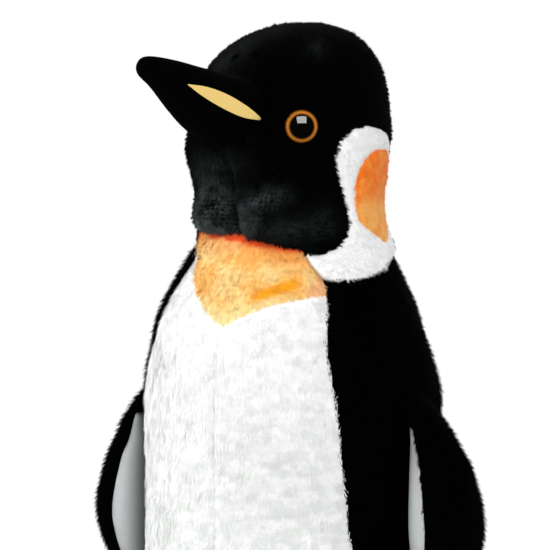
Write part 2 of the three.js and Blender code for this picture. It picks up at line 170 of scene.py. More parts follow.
def noise(points, size, seed=0):
    """A smooth random field between -1 and 1 that changes over about `size` millimetres."""
    scaled = points / size
    cell = np.floor(scaled).astype(np.int64)
    part = scaled - cell
    part = part * part * (3 - 2 * part)
    total = np.zeros(len(points))
    for corner in np.ndindex(2, 2, 2):
        at = cell + corner
        mixed = at[:, 0] * 73856093 ^ at[:, 1] * 19349663 ^ at[:, 2] * 83492791 ^ seed * 2654435
        mixed = (mixed ^ (mixed >> 13)) * 1274126177
        value = ((mixed ^ (mixed >> 16)) & 0xFFFF) / 32767.5 - 1
        weight = np.prod(np.where(np.array(corner) == 1, part, 1 - part), axis=1)
        total += value * weight
    return total


def unit(vectors):
    """The vectors at length 1."""
    return vectors / np.maximum(np.linalg.norm(vectors, axis=-1, keepdims=True), 1e-9)


def inside(outline, x, y):
    """True where (x, y) lies in the closed outline."""
    result = np.zeros(x.shape, bool)
    for (x0, y0), (x1, y1) in zip(outline, np.roll(outline, -1, axis=0)):
        crosses = (y0 > y) != (y1 > y)
        at = x0 + (y - y0) * (x1 - x0) / ((y1 - y0) or 1e-9)
        result ^= crosses & (x < at)
    return result


def edge_distance(outline, x, y, scale):
    """Distance in millimetres from (x, y) to the closed outline; x is in degrees, `scale` mm each."""
    nearest = np.full(x.shape, 1e9)
    for (x0, y0), (x1, y1) in zip(outline, np.roll(outline, -1, axis=0)):
        dx, dy = (x1 - x0) * scale, y1 - y0
        t = ((x - x0) * scale * dx + (y - y0) * dy) / max(dx * dx + dy * dy, 1e-9)
        t = np.clip(t, 0, 1)
        away = np.hypot((x - x0) * scale - t * dx, y - y0 - t * dy)
        nearest = np.minimum(nearest, away)
    return nearest


def bump(x, middle, width):
    """A smooth hill of height 1."""
    return np.exp(-(((x - middle) / width) ** 2))


# ---------------- skins: grids over stuffed forms


class Skin:
    """A grid of points over a stuffed form, with the coordinates its panels are drawn in.

    The normals point away from `core`, the places inside the form that its points stand round.
    """

    def __init__(self, points, across, along, core):
        self.points = points
        self.across = across
        self.along = along
        over, down = np.gradient(points, axis=1), np.gradient(points, axis=0)
        normals = unit(np.cross(over, down))
        outward = np.sum(normals * (points - core), axis=-1, keepdims=True)
        self.normals = np.where(outward < 0, -normals, normals)

    def corners(self, values):
        """The values at the four corners of each cell."""
        return values[:-1, :-1], values[:-1, 1:], values[1:, 1:], values[1:, :-1]

    def centres(self, values):
        """The mean of the values over each cell."""
        return sum(self.corners(values)) / 4

    def areas(self):
        """The area of each cell in square millimetres."""
        a, b, c, d = self.corners(self.points)
        return np.linalg.norm(np.cross(c - a, d - b), axis=-1) / 2

    def scatter(self, density, random):
        """Random places spread evenly: points, normals and the two panel coordinates."""
        area = self.areas().ravel()
        count = int(area.sum() * density)
        cell = random.choice(len(area), size=count, p=area / area.sum())
        row, column = np.divmod(cell, self.across.shape[1] - 1)
        s, t = random.random((2, count))

        def at(values):
            wide = (slice(None), None) if values.ndim == 3 else slice(None)
            low = values[row, column] * (1 - s)[wide] + values[row, column + 1] * s[wide]
            high = values[row + 1, column] * (1 - s)[wide] + values[row + 1, column + 1] * s[wide]
            return low * (1 - t)[wide] + high * t[wide]

        return at(self.points), unit(at(self.normals)), at(self.across), at(self.along)


def facing_out(faces, points, normals):
    """The faces with their corners in the order that looks out along the given normals."""
    a, b, c, d = (points[faces[:, k]] for k in (0, 1, 2, -1))
    facing = np.sum(np.cross(c - a, d - b) * normals[faces].mean(axis=1), axis=1)
    return np.where((facing < 0)[:, None], faces[:, ::-1], faces)


class Shape:
    """Vertices, faces and per-vertex values gathered for one mesh."""

    def __init__(self):
        self.points, self.normals, self.along, self.shade, self.faces = [], [], [], [], []
        self.count = 0

    def add(self, points, normals, along, shade, faces):
        """Adds loose triangles and quads; `faces` count from this batch's first vertex."""
        faces = [facing_out(block, points, normals) for block in faces]
        self.points.append(points)
        self.normals.append(normals)
        self.along.append(along)
        self.shade.append(shade)
        self.faces.extend(block + self.count for block in faces)
        self.count += len(points)

    def mesh(self, name):
        """The Blender mesh, in metres."""
        mesh = bpy.data.meshes.new(name)
        points = np.vstack(self.points).astype(np.float32) * MM
        sizes = np.concatenate([np.full(len(block), block.shape[1]) for block in self.faces])
        corners = np.concatenate([block.ravel() for block in self.faces])
        starts = np.concatenate([[0], np.cumsum(sizes)[:-1]])
        mesh.vertices.add(len(points))
        mesh.vertices.foreach_set("co", points.ravel())
        mesh.loops.add(len(corners))
        mesh.loops.foreach_set("vertex_index", corners.astype(np.int32))
        mesh.polygons.add(len(sizes))
        mesh.polygons.foreach_set("loop_start", starts.astype(np.int32))
        for label, values in (("pile", self.along), ("shade", self.shade)):
            layer = mesh.attributes.new(label, "FLOAT", "POINT")
            layer.data.foreach_set("value", np.concatenate(values).astype(np.float32))
        mesh.update()
        mesh.shade_smooth()
        facing = mesh.attributes.new("custom_normal", "FLOAT_VECTOR", "POINT")
        facing.data.foreach_set("vector", unit(np.vstack(self.normals)).astype(np.float32).ravel())
        return mesh


def add_backing(shape, skin, chosen, shade=1.0):
    """The cells of the skin where `chosen` is true, as the fabric under the pile."""
    rows, columns = skin.across.shape
    number = np.arange(rows * columns).reshape(rows, columns)
    quads = np.stack([corner[chosen] for corner in skin.corners(number)], axis=1)
    used, quads = np.unique(quads, return_inverse=True)
    quads = quads.reshape(-1, 4)
    points = skin.points.reshape(-1, 3)[used]
    normals = skin.normals.reshape(-1, 3)[used]
    flat = np.zeros(len(used))
    shape.add(points, normals, flat, np.full(len(used), shade), [quads])


def covered(skin):
    """The whole of a skin as fabric."""
    shape = Shape()
    add_backing(shape, skin, np.ones(skin.areas().shape, bool))
    return shape


def gathered(roots, tips, size, amount, random):
    """Locks of pile near each other lean together: tips move towards the middle of their clump."""
    cell = np.floor(roots / size + 0.35 * noise_vector(roots, size * 2)).astype(np.int64)
    key = cell[:, 0] * 73856093 + cell[:, 1] * 19349663 + cell[:, 2] * 83492791
    _, clump = np.unique(key, return_inverse=True)
    count = np.bincount(clump)
    middle = np.stack([np.bincount(clump, tips[:, k]) / count for k in range(3)], axis=1)
    lean = random.normal(0, 0.3, (len(count), 3))
    shade = 1 + random.normal(0, 0.025, len(count))
    stretch = 1 + random.normal(0, 0.12, len(count))
    moved = tips + (middle[clump] - tips) * amount + lean[clump]
    return moved, shade[clump], stretch[clump]


def noise_vector(points, size):
    """Three independent smooth random fields."""
    return np.stack([noise(points, size, seed) for seed in (11, 12, 13)], axis=1)


def add_pile(shape, roots, normals, lie, pile, random, tone=1.0):
    """Locks of pile: thin triangles that start in the fabric and lean along `lie`."""
    count = len(roots)
    if not count:
        return
    swirl = noise_vector(roots, 28) * 0.35 + noise_vector(roots, 9) * 0.18
    flat = lie + swirl - normals * np.sum((lie + swirl) * normals, axis=1, keepdims=True)
    heading = unit(unit(flat) * (1 - pile["rise"]) + normals * pile["rise"])
    heading = unit(heading + random.normal(0, 0.1, (count, 3)))
    length = pile["length"] * random.uniform(0.75, 1.2, count)
    tips = roots + heading * length[:, None]
    tips, clump_shade, stretch = gathered(roots, tips, pile["clump"], pile["gather"], random)
    tips = roots + (tips - roots) * stretch[:, None]
    away = np.sum((tips - roots) * normals, axis=1)
    tips += normals * np.maximum(0.8 - away, 0)[:, None]
    random.random(count)  # unused, but the draws after it would change without it
    side = unit(np.cross(tips - roots, normals) + random.normal(0, 0.25, (count, 3)))
    half = side * (pile["width"] / 2 * random.uniform(0.7, 1.3, count))[:, None]
    sunk = roots - normals * ROOT_DEPTH
    points = np.stack([sunk - half, sunk + half, tips], axis=1)
    points[..., 2] = np.maximum(points[..., 2], FLOOR_GAP)
    along = np.tile([0.0, 0.0, 1.0], count)
    shade = np.repeat(tone * clump_shade * random.normal(1, 0.02, count), 3)
    soft = unit(normals + 0.25 * unit(tips - roots) + random.normal(0, 0.06, (count, 3)))
    triangles = np.arange(count * 3).reshape(count, 3)
    shape.add(points.reshape(-1, 3), np.repeat(soft, 3, axis=0), along, shade, [triangles])


# ---------------- putting pieces in the scene


def piece(name, shape, material, body, nodes):
    """A finished piece: it rides on a CAD body and stands for CAD nodes."""
    mesh = shape.mesh(name)
    thing = bpy.data.objects.new(name, mesh)
    bpy.context.scene.collection.objects.link(thing)
    mesh.materials.append(material)
    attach(thing, body)
    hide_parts(*nodes)


def amount_of_pile(pile):
    return pile["density"] * 1


def plush_shape(skin, fabric, random, lie, denser=1.0):
    """The whole of a skin as fabric with its pile on it, all brushed one way."""
    shape = covered(skin)
    pile = PILE[fabric]
    roots, normals, _, _ = skin.scatter(amount_of_pile(pile) * denser, random)
    add_pile(shape, roots, normals, np.tile(lie, (len(roots), 1)), pile, random)
    return shape


def turned_head(points):
    """Points of the head in its resting turn."""
    turn = math.radians(HEAD_TURN)
    c, s = math.cos(turn), math.sin(turn)
    matrix = np.array([[c, -s, 0], [s, c, 0], [0, 0, 1]])
    return points @ matrix.T


# ---------------- body


def body_label(angle, height):
    """Which panel of the body a place is on: 0 back, 1 belly, 2 bib."""
    left = along_curve(FRONT_LEFT, height)
    right = along_curve(FRONT_RIGHT, height)
    front = (angle < left) & (angle > -right)
    label = np.where(front, 1, 0)
    return np.where(front & inside(BIB, angle, height), 2, label)


def back_sheen_tone(angle):
    """The black pile's colour by how far round from the front it is: 1 but for the back, painted greyer
    as painted sheen.
    """
    return 1 + BACK_SHEEN["greyer"] * np.clip((abs(angle) - BACK_SHEEN["start"]) / BACK_SHEEN["spread"], 0, 1)


def body_skin():
    """The body from the base to just inside the head's cover."""
    angle, height = np.meshgrid(np.linspace(-180, 180, 241), curve_through([(0, 2), (1, 464)], 190)[:, 1])
    radius = np.interp(height, *curve_through(BODY_OUTLINE)[:, ::-1].T)
    mm_per_degree = radius * math.pi / 180
    side = np.minimum(
        abs(angle - along_curve(FRONT_LEFT, height)), abs(angle + along_curve(FRONT_RIGHT, height))
    ) * mm_per_degree
    seam = 1.3 * bump(angle * mm_per_degree, 0, 3.5) + 1.8 * bump(side, 0, 6)
    seam += 1.4 * bump(edge_distance(BIB, angle, height, 1.45), 0, 5)
    turn = np.radians(angle)
    points = np.stack([np.sin(turn), -BODY_DEPTH * np.cos(turn), height], axis=-1)
    lumps = noise(points.reshape(-1, 3) * [90, 90, 1], 34).reshape(angle.shape)
    under_hem = 3.5 * np.clip((height - 405) / 35, 0, 1)
    creases = noise(points.reshape(-1, 3) * [90, 90, 1.6], 13, 3).reshape(angle.shape)
    radius = radius - 3.0 - under_hem - seam + 1.6 * lumps + 0.35 * creases
    points[..., :2] *= radius[..., None]
    points[..., 1] -= BODY_FORWARD * bump(height, 400, 34)
    return Skin(points, angle, height, points * [0, 0, 1])


def make_body(materials):
    """The six panels of the body."""
    skin = body_skin()
    middle = body_label(skin.centres(skin.across), skin.centres(skin.along))
    on_left = skin.centres(skin.across) > 0
    down = np.array([0, 0, -1.0])
    panels = [
        (0, "back", "black_plush", "back"), (1, "belly", "white_plush", "chest"),
        (2, "bib", "orange_plush", "bib"),
    ]
    for label, word, slot, fabric in panels:
        pile = PILE[fabric]
        random = seeded(word)
        roots, normals, angle, height = skin.scatter(amount_of_pile(pile), random)
        here = body_label(angle + random.normal(0, 0.5, len(angle)), height) == label
        hidden = height > along_curve(HEM, (angle - HEAD_TURN + 180) % 360 - 180) + 5
        for side, sign in SIDES:
            shape = Shape()
            add_backing(shape, skin, (middle == label) & (on_left == (sign > 0)))
            chosen = here & ((angle > 0) == (sign > 0)) & ~hidden
            lie = np.tile(down, (chosen.sum(), 1))
            # painted sheen on the back's black pile
            tone = back_sheen_tone(angle[chosen]) if label == 0 else 1.0
            add_pile(shape, roots[chosen], normals[chosen], lie, pile, random, tone)
            name = f"{side}_{word}_plush"
            nodes = [f"{side}_{word}"]
            if label == 0 and sign > 0:
                nodes.append("body_filling")
            material = materials["bib" if label == 2 else slot]
            piece(name, shape, material, "torso", nodes)


# ---------------- head


def head_label(angle, height, x):
    """Which panel of the head a place is on: 0 side, 1 gusset, 2 throat, 3 white patch, 4 ear."""
    from_front = abs(angle)
    label = np.zeros(angle.shape, int)
    throat_edge = np.interp(height, [445, 480, 508, 540], [60, 55, 43, 20])
    label[(from_front < throat_edge) & (height < 540)] = 2
    label[(abs(x) < 22) & ((height > 560) | (from_front > 90))] = 1
    label[inside(NECK_PATCH, from_front, height)] = 3
    label[inside(EAR_PATCH, from_front, height)] = 4
    return label


def crease_angle(angle, height):
    """Degrees from the crease down the middle of the throat, which bends aside near the hem."""
    return angle - 10 * np.clip((484 - height) / 26, 0, 1)


def painted_sheen_tone(angle, height):
    """The head's black pile with painted sheen: greyer at the listed places and down the back, a multiple
    of its colour.
    """
    tone = sum(
        much * bump(angle, middle, wide) * bump(height, level, tall)
        for middle, level, wide, tall, much in PAINTED_SHEEN_PLACES
    )
    places = np.stack([angle * 1.25, height, 0 * angle], axis=-1)
    mottled = 1 + 0.5 * noise(places, 9, 4) + 0.5 * noise(places, 4, 5)
    # painted shade: along the throat's crease, low down, the painted sheen is taken away
    tone *= 1 - 0.9 * bump(crease_angle(angle, height), 0, 2.6) * np.clip((520 - height) / 12, 0, 1)
    return back_sheen_tone(angle) + tone * np.maximum(mottled, 0.2)


def head_skin():
    """The head from its lower edge to the crown."""
    outline = curve_through(HEAD_OUTLINE, 40)
    steps = np.linalg.norm(np.diff(outline, axis=0), axis=1)
    length = np.concatenate([[0], np.cumsum(steps)])
    angle, share = np.meshgrid(np.linspace(-180, 180, 361), np.linspace(0, 1, 200))
    hem = along_curve(HEM, angle)
    start = np.interp(hem, outline[:, 1], length)
    at = start + (length[-1] - start) * share
    radius = np.interp(at, length, outline[:, 0])
    height = np.interp(at, length, outline[:, 1])
    cheek = 6 * bump(abs(angle), 40, 32) * bump(height, 522, 28)
    lobe = 8.0 * bump(abs(angle - 5), 24, 19) * bump(height, 470, 17)
    lobe -= 4.0 * bump(abs(angle), 52, 14) * bump(height, 462, 17)
    crease = 12.0 * bump(crease_angle(angle, height) * 1.25, 0, 7) * np.clip((528 - height) / 30, 0, 1)
    crease *= 1 - 0.6 * np.clip((474 - height) / 14, 0, 1)
    seam = 1.6 * bump(edge_distance(NECK_PATCH, abs(angle), height, 1.25), 0, 4)
    seam += 1.2 * bump(edge_distance(EAR_PATCH, abs(angle), height, 1.25), 0, 3)
    roll_height = np.where(abs(angle) < 52, 11, 6)
    roll = np.clip(1 - (height - hem) / roll_height, 0, 1)
    roll_depth = np.where(abs(angle) < 52, 13, 5)
    radius = radius - 3.5 + cheek + lobe - crease - seam - roll_depth * (1 - np.sqrt(1 - roll**2))
    from_eye = np.hypot((abs(angle) - EYE["angle"]) * 1.27, height - EYE["height"]) - EYE["radius"]
    radius = np.minimum(radius, EYE["reach"] - 0.5 + 1.1 * np.maximum(from_eye, 0))
    radius = np.maximum(radius, 0)
    turn = np.radians(angle)
    points = np.stack([radius * np.sin(turn), -radius * np.cos(turn), height], axis=-1)
    lumps = noise(points.reshape(-1, 3), 30, 5).reshape(angle.shape)
    points[..., 0] += np.sin(turn) * lumps * 1.0
    points[..., 1] -= np.cos(turn) * lumps * 1.0
    points[..., 1] += CROWN_BACK * np.clip((height - 545) / 60, 0, 1) ** 2
    return Skin(points, angle, height, points * [0, 0, 1] - [0, 0, 12])


def make_head(materials):
    """The crown gusset, sides, throat, white neck patches and orange ear patches."""
    skin = head_skin()
    x = skin.points[..., 0]
    middle = head_label(*[skin.centres(v) for v in (skin.across, skin.along, x)])
    on_left = skin.centres(skin.across) > 0
    skin.points = turned_head(skin.points)
    skin.normals = turned_head(skin.normals)
    panels = [
        (0, "head_side", "black_plush", "head"), (1, "crown_gusset", "black_plush", "head"),
        (2, "throat", "black_plush", "throat"), (3, "neck_patch", "white_plush", "patch"),
        (4, "ear_patch", "orange_plush", "patch"),
    ]
    for label, word, slot, fabric in panels:
        pile = PILE[fabric]
        random = seeded(word)
        roots, normals, angle, height = skin.scatter(amount_of_pile(pile), random)
        straight = roots @ turned_head(np.eye(3))
        here = head_label(angle, height, straight[:, 0]) == label
        under_beak = ((abs(angle) * 1.25 / 27) ** 2 + ((height - 547.5) / 21) ** 2) < 1
        by_eye = np.hypot((abs(angle) - EYE["angle"]) * 1.27, height - EYE["height"]) < EYE["radius"] + 2
        here &= ~under_beak & ~by_eye
        back_and_down = turned_head(np.array([[0, 0.75, -0.65]]))
        for side, sign in SIDES:
            both = label == 1
            if both and sign < 0:
                continue
            shape = Shape()
            # painted sheen on the throat's backing
            backing_sheen = THROAT_BACKING_SHEEN if label == 2 else 1.0
            add_backing(shape, skin, (middle == label) & (both | (on_left == (sign > 0))), backing_sheen)
            chosen = here & (both | ((angle > 0) == (sign > 0)))
            lie = np.tile(back_and_down, (chosen.sum(), 1))
            # painted sheen on the head's black pile
            tone = painted_sheen_tone(angle[chosen], height[chosen]) if slot == "black_plush" else 1.0
            add_pile(shape, roots[chosen], normals[chosen], lie, pile, random, tone)
            node = word if both else f"{side}_{word}"
            nodes = [node, "head_filling"] if both else [node]
            colour = materials["ear" if label == 4 else slot]
            piece(f"{node}_plush", shape, colour, "head", nodes)


def make_beak(materials):
    """The two covers of the beak, joined along the ridge, and the stripes let into their sides."""
    stations = curve_through(BEAK, 10)
    for side, sign in SIDES:
        turn = np.radians(np.linspace(-90, 90, 49))
        reach, middle, wide, tall = [stations[:, k][:, None] for k in range(4)]
        x = sign * wide * np.cos(turn)
        y = -reach + 0 * turn
        z = middle + tall * np.sin(turn)
        points = np.stack([x, y, z], axis=-1)
        core = np.stack([0 * x, y + 3, middle + 0 * turn], axis=-1)
        skin = Skin(turned_head(points), 0 * x + turn, reach + 0 * turn, turned_head(core))
        shape = covered(skin)
        nodes = [f"{side}_beak_cover"] + (["beak_filling"] if sign > 0 else [])
        name = f"{side}_beak_velour"
        piece(name, shape, materials["beak_velour"], "head", nodes)
        make_stripe(side, sign, stations, materials)


def make_stripe(side, sign, stations, materials):
    """A leaf-shaped stripe that lies just proud of the beak's side."""
    top = curve_through(STRIPE_TOP, 14)
    bottom = curve_through(STRIPE_BOTTOM, 14)
    share = np.linspace(0, 1, 9)[:, None, None]
    flat = bottom[None] * (1 - share) + top[None] * share
    y, z = flat[..., 0], flat[..., 1]
    middle, wide, tall = [np.interp(-y, stations[:, 0], stations[:, k]) for k in (1, 2, 3)]
    height = np.clip((z - middle) / tall, -0.97, 0.97)
    x = sign * (wide * np.sqrt(1 - height**2) + 0.7)
    points = np.stack([x, y, z], axis=-1)
    core = np.stack([0 * x, y, middle], axis=-1)
    skin = Skin(turned_head(points), y, z, turned_head(core))
    shape = covered(skin)
    name = f"{side}_stripe_velour"
    piece(name, shape, materials["stripe"], "head", [f"{side}_beak_stripe"])


def make_eyes(materials):
    """Glossy safety eyes: a low dome with an amber ring round a black pupil."""
    turn, out = np.meshgrid(np.linspace(0, 2 * math.pi, 65), np.linspace(0, 1, 25))
    radius = EYE["radius"] * out
    curve = (EYE["radius"] ** 2 + EYE["dome"] ** 2) / (2 * EYE["dome"])
    for side, sign in SIDES:
        facing = math.radians(EYE["angle"]) * sign
        outward = np.array([math.sin(facing), -math.cos(facing), 0.0])
        sideways = np.array([math.cos(facing), math.sin(facing), 0.0])
        middle = outward * (EYE["reach"] + EYE["dome"] - curve) + [0, 0, EYE["height"]]
        points = middle + outward * np.sqrt(curve**2 - radius**2)[..., None]
        points = points + sideways * (radius * np.cos(turn))[..., None]
        points[..., 2] += radius * np.sin(turn)
        skin = Skin(turned_head(points), out, turn, turned_head(middle))
        skin.normals = unit(skin.points - turned_head(middle))
        shape = covered(skin)
        shape.along = [out.ravel()]
        name = f"{side}_eye_glossy"
        piece(name, shape, materials["eye"], "head", [f"{side}_eye"])


# ---------------- flippers


def flipper_skin(side, sign):
    """One face of a flipper: side +1 is the outer face and -1 the inner one."""
    stations = curve_through(FLIPPER, 9)
    turn = np.linspace(0, math.pi, 61)
    z, seam, middle, front, back, outer, inner = [stations[:, k][:, None] for k in range(7)]
    bulge = (outer if side > 0 else inner) * np.sin(turn) ** 0.8
    reach = np.where(turn < math.pi / 2, front, back)
    x = seam + side * bulge
    y = middle - reach * np.cos(turn)
    points = np.stack([sign * x, y, z + 0 * turn], axis=-1)
    return Skin(points, turn / math.pi + 0 * z, z + 0 * turn, points - [20 * side * sign, 0, 0])


def make_flippers(materials):
    """Each flipper has a plush outer face and a smooth grey lining."""
    for word, sign in SIDES:
        body = f"{word}_flipper"
        pile = PILE["back"]
        random = seeded(body)
        skin = flipper_skin(1, sign)
        shape = plush_shape(skin, "back", random, [0, 0, -1.0], FLIPPER_THICKER)
        lining = flipper_skin(-1, sign)
        shoulder = lining.centres(lining.along) > FLIPPER_SHOULDER
        add_backing(shape, lining, shoulder)
        roots, normals, _, height = lining.scatter(amount_of_pile(pile) * FLIPPER_THICKER, random)
        chosen = height > FLIPPER_SHOULDER
        lie = np.tile([0, 0, -1.0], (chosen.sum(), 1))
        add_pile(shape, roots[chosen], normals[chosen], lie, pile, random)
        name = f"{body}_plush"
        nodes = [f"{body}_outer", f"{body}_filling"]
        piece(name, shape, materials["black_plush"], body, nodes)
        shape = Shape()
        add_backing(shape, lining, ~shoulder)
        name = f"{body}_lining_cloth"
        piece(name, shape, materials["lining"], body, [f"{body}_lining"])


# ---------------- feet, base and tail


def foot_height(x, y):
    """How far each place is inside the foot's outline, as a share, and the foot's height there."""
    reach, radius = FOOT["toe_reach"], FOOT["toe_radius"]
    lobes = [(np.hypot(x, y - 12) / FOOT["instep"], FOOT["instep_height"])]
    lobes.append((np.hypot(x, y + 16) / FOOT["pad"], FOOT["toe_height"]))
    for turn in (-FOOT["toe_turn"], 0, FOOT["toe_turn"]):
        ahead = np.array([math.sin(math.radians(turn)), -math.cos(math.radians(turn))])
        along = np.clip(x * ahead[0] + y * ahead[1], 0, reach)
        away = np.hypot(x - along * ahead[0], y - along * ahead[1])
        lobes.append((away / radius, FOOT["toe_height"]))
    share = [1 - np.minimum(away, 1) ** 2 for away, _ in lobes]
    total = sum((tall * np.sqrt(part)) ** 4 for part, (_, tall) in zip(share, lobes)) ** 0.25
    return np.max(share, axis=0), total


def foot_edge(turn):
    """How far the foot reaches from the middle of its toes' fan, in each direction."""
    steps = np.linspace(0, 70, 281)
    x, y = steps[:, None] * np.sin(turn), -steps[:, None] * np.cos(turn)
    within = foot_height(x, y)[0] > 0
    return np.max(np.where(within, steps[:, None], 0), axis=0)


def placed_foot(points, sign):
    """Points of a foot drawn round its toes' fan, moved to where the foot is on the toy."""
    turn = math.radians(FOOT["splay"])
    x, y = points[..., 0], points[..., 1] + FOOT["fan"]
    across = x * math.cos(turn) - y * math.sin(turn) + FOOT["spread"]
    ahead = x * math.sin(turn) + y * math.cos(turn)
    return np.stack([sign * across, ahead, points[..., 2]], axis=-1)


def foot_skin(sign):
    """The upper of a foot, from its edge near the floor up over the toes and the instep."""
    turn = np.radians(np.linspace(-180, 180, 241))
    share = np.sin(np.linspace(0, 0.5, 60) * math.pi)[:, None]
    edge = foot_edge(turn)
    x, y = share * edge * np.sin(turn), -share * edge * np.cos(turn)
    height = foot_height(x, y)[1]
    points = np.stack([x, y, FOOT["sole"] + height - 1.5], axis=-1)
    core = np.stack([0.8 * x, 0.8 * y, 0 * x - 6], axis=-1)
    return Skin(placed_foot(points, sign), turn + 0 * share, share + 0 * turn, placed_foot(core, sign))


def sole_skin(sign):
    """The sole: flat on the floor and turned up to meet the upper at its edge."""
    turn = np.radians(np.linspace(-180, 180, 161))
    share = np.linspace(0, 1, 24)[:, None]
    edge = foot_edge(turn) - 0.5
    x, y = share * edge * np.sin(turn), -share * edge * np.cos(turn)
    lift = FOOT["sole"] * np.clip((share - 0.85) / 0.15, 0, 1) ** 2
    points = np.stack([x, y, lift + 0.2 + 0 * x], axis=-1)
    core = points + [0, 0, 20]
    return Skin(placed_foot(points, sign), turn + 0 * share, share + 0 * turn, placed_foot(core, sign))


def make_feet(materials):
    """Flat three-toed feet: a plush upper on a velour sole."""
    for word, sign in SIDES:
        turn = math.radians(FOOT["splay"])
        lie = [sign * math.sin(turn), -math.cos(turn), -0.2]
        shape = plush_shape(foot_skin(sign), "foot", seeded(f"{word}_foot"), lie)
        name = f"{word}_foot_plush"
        nodes = [f"{word}_foot_upper", f"{word}_foot_filling"]
        piece(name, shape, materials["black_plush"], "torso", nodes)
        shape = covered(sole_skin(sign))
        name = f"{word}_foot_sole_velour"
        nodes = [f"{word}_foot_sole"]
        piece(name, shape, materials["beak_velour"], "torso", nodes)


def make_base(materials):
    """The round panel under the body that it stands on."""
    turn = np.radians(np.linspace(-180, 180, 97))
    share = np.linspace(0, 1, 20)[:, None]
    radius = BODY_OUTLINE[1][0]
    lift = 5 * np.clip((share - 0.85) / 0.15, 0, 1) ** 2
    x, y = share * radius * np.sin(turn), -BODY_DEPTH * share * radius * np.cos(turn)
    points = np.stack([x, y, 0.1 + lift + 0 * x], axis=-1)
    skin = Skin(points, turn + 0 * share, share + 0 * turn, points + [0, 0, 20])
    shape = covered(skin)
    name = "base_velour"
    piece(name, shape, materials["beak_velour"], "torso", ["base_panel"])


def tail_skin(side):
    """One face of the tail, a flat leaf: side +1 is its upper face and -1 its lower one."""
    turn, share = np.meshgrid(np.linspace(0, math.pi, 49), np.linspace(0, 1, 60))
    half = TAIL["width"] / 2 * np.sqrt(1 - share**2 * 0.98)
    deep = (TAIL["thick"] - 2) * (1 - 0.75 * share)
    y = TAIL["root"] + (TAIL["tip"] - TAIL["root"]) * share
    z = TAIL["height"] + TAIL["drop"] * share + side * deep * np.sin(turn)
    points = np.stack([half * np.cos(turn), y, z], axis=-1)
    return Skin(points, turn, share, points - [0, 0, 20 * side])


def make_tail(materials):
    """The tail: two plush leaves sewn together."""
    for side, word in ((1, "upper"), (-1, "lower")):
        shape = plush_shape(tail_skin(side), "foot", seeded(f"tail_{word}"), [0, 1.0, -0.3])
        nodes = [f"tail_{word}"] + (["tail_filling"] if side > 0 else [])
        name = f"tail_{word}_plush"
        piece(name, shape, materials["black_plush"], "torso", nodes)


# ---------------- materials


def new_material(name):
    """A material with its shader node and node tree."""
    material = bpy.data.materials.new(name)
    material.use_nodes = True
    tree = material.node_tree
    shader = tree.nodes["Principled BSDF"]
    return material, tree, shader


def set_inputs(node, values):
    """Gives a node's inputs plain values."""
    for name, value in values.items():
        node.inputs[name].default_value = value


def attribute(tree, name):
    """The value of a mesh attribute."""
    node = tree.nodes.new("ShaderNodeAttribute")
    node.attribute_name = name
    return node.outputs["Fac"]


def ramp(tree, value, stops):
    """Colours at positions along a value."""
    node = tree.nodes.new("ShaderNodeValToRGB")
    node.color_ramp.interpolation = "EASE"
    while len(node.color_ramp.elements) < len(stops):
        node.color_ramp.elements.new(0.5)
    for element, (position, colour) in zip(node.color_ramp.elements, stops):
        element.position = position
        element.color = (*colour, 1)
    tree.links.new(value, node.inputs["Fac"])
    return node.outputs["Color"]


def mix(tree, kind, factor, a, b):
    """Two colours mixed; each input is a socket, a number or a colour."""
    node = tree.nodes.new("ShaderNodeMix")
    node.data_type = "RGBA"
    node.blend_type = kind
    for socket, value in ((node.inputs[0], factor), (node.inputs[6], a), (node.inputs[7], b)):
        if isinstance(value, bpy.types.NodeSocket):
            tree.links.new(value, socket)
        elif isinstance(value, tuple):
            socket.default_value = (*value, 1)
        else:
            socket.default_value = value
    return node.outputs[2]


def over(tree, amount, a, b):
    """The first colour with this much of the second over it."""
    return mix(tree, "MIX", amount, a, b)


def math_node(tree, kind, a, b=0.0):
    """One arithmetic step on sockets or numbers."""
    node = tree.nodes.new("ShaderNodeMath")
    node.operation = kind
    for socket, value in zip(node.inputs, (a, b)):
        if isinstance(value, bpy.types.NodeSocket):
            tree.links.new(value, socket)
        else:
            socket.default_value = value
    return node.outputs[0]


def times(tree, a, b):
    """Two values multiplied."""
    return math_node(tree, "MULTIPLY", a, b)


def place(tree, axis):
    """The place on the toy along one axis, in metres, in the piece's own frame."""
    coordinates = tree.nodes.new("ShaderNodeTexCoord")
    split = tree.nodes.new("ShaderNodeSeparateXYZ")
    tree.links.new(coordinates.outputs["Object"], split.inputs[0])
    return split.outputs[axis]


def cloud(tree, scale, detail=3, flatter=1.0):
    """Soft noise over the piece, `scale` in patches to a metre; the patches may be flatter than round."""
    coordinates = tree.nodes.new("ShaderNodeTexCoord")
    stretch = tree.nodes.new("ShaderNodeVectorMath")
    stretch.operation = "MULTIPLY"
    stretch.inputs[1].default_value = (1.0, 1.0, flatter)
    node = tree.nodes.new("ShaderNodeTexNoise")
    set_inputs(node, {"Scale": scale, "Detail": detail})
    tree.links.new(coordinates.outputs["Object"], stretch.inputs[0])
    tree.links.new(stretch.outputs["Vector"], node.inputs["Vector"])
    return node.outputs["Fac"]


def finish_plush(tree, shader, colour, sheen, gloss):
    """Pile with painted shade, darker at its roots where the locks shade each other, and with a soft
    sheen.
    """
    # painted shade: darker towards the roots of the locks
    depth = ramp(tree, attribute(tree, "pile"), [(0.0, (0.94,) * 3), (0.6, (1.0,) * 3)])
    colour = mix(tree, "MULTIPLY", 1.0, colour, depth)
    colour = mix(tree, "MULTIPLY", 1.0, colour, attribute(tree, "shade"))
    tree.links.new(colour, shader.inputs["Base Color"])
    set_inputs(shader, {"Roughness": 0.85, "Specular IOR Level": gloss})
    set_inputs(shader, {"Sheen Weight": sheen, "Sheen Roughness": 0.5})


def plain_plush(name, colour, sheen, gloss, variation):
    """Plush of one colour, cloudy by up to `variation`."""
    material, tree, shader = new_material(name)
    dull = tuple(c * (1 - variation) for c in colour)
    shifted = over(tree, cloud(tree, 60), dull, colour)
    finish_plush(tree, shader, shifted, sheen, gloss)
    return material


